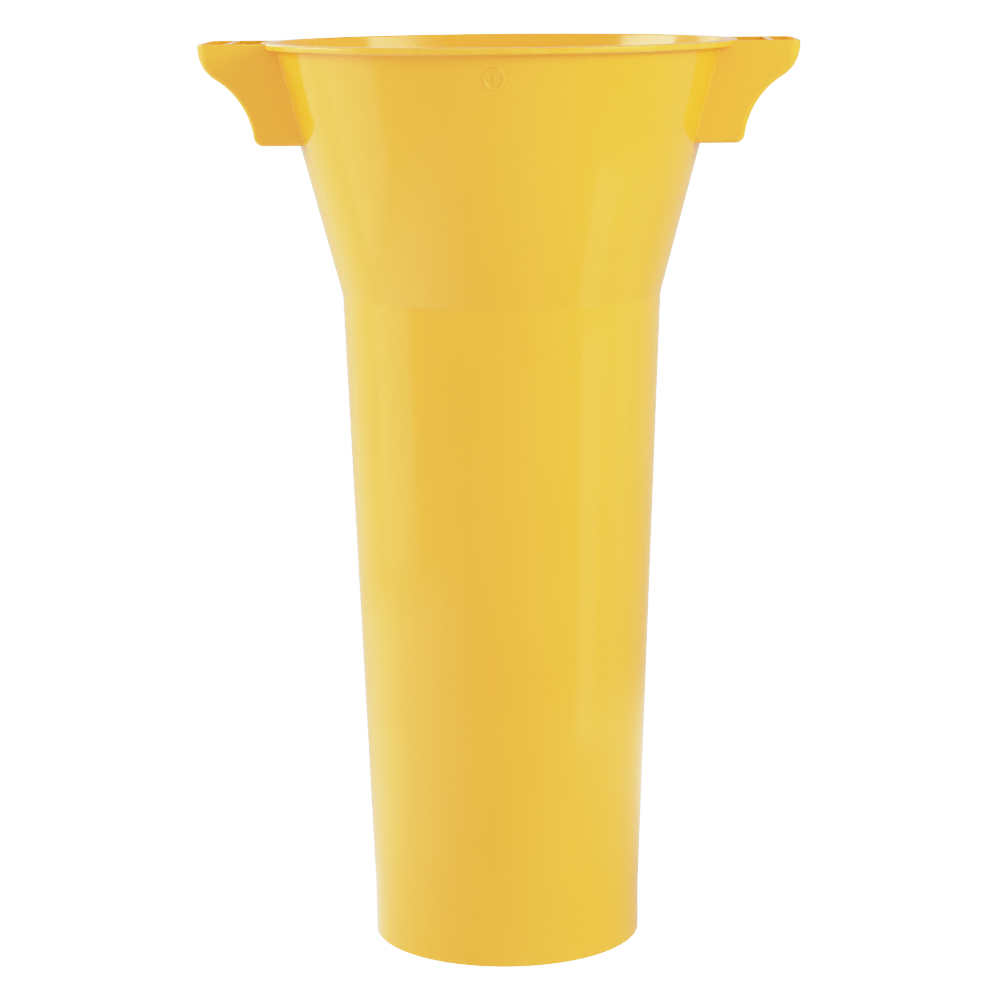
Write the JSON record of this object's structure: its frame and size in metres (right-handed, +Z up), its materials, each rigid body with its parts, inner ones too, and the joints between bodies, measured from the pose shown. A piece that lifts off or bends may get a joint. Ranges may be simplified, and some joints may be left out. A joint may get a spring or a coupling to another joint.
{
  "type": "sack-filling funnel",
  "caption": "Tall yellow plastic filling funnel: flared hopper with a flat lip, long gently tapering wide spout with a straight outlet collar, and hollow hand lugs at the mouth.",
  "frame": {"origin": "on the funnel's axis, in the plane of the outlet rim that it stands on", "axes": "+Z up the axis from the outlet to the mouth; lugs along +X and -X; date ring towards -Y"},
  "size_m": [0.367, 0.294, 0.57],
  "materials": {
    "funnel_plastic": "satin-gloss injection-moulded polyethylene, self-coloured yellow, fine vertical draw marks"
  },
  "bodies": {
    "root": {"outlet_collar": "funnel_plastic", "spout_tube": "funnel_plastic", "throat_bend": "funnel_plastic", "hopper_cone": "funnel_plastic", "mouth_lip": "funnel_plastic", "right_lug_front_cheek": "funnel_plastic", "right_lug_rear_cheek": "funnel_plastic", "right_lug_nose": "funnel_plastic", "right_lug_floor": "funnel_plastic", "right_lug_rib": "funnel_plastic", "left_lug_front_cheek": "funnel_plastic", "left_lug_rear_cheek": "funnel_plastic", "left_lug_nose": "funnel_plastic", "left_lug_floor": "funnel_plastic", "left_lug_rib": "funnel_plastic", "date_ring": "funnel_plastic"}
  },
  "joints": []
}
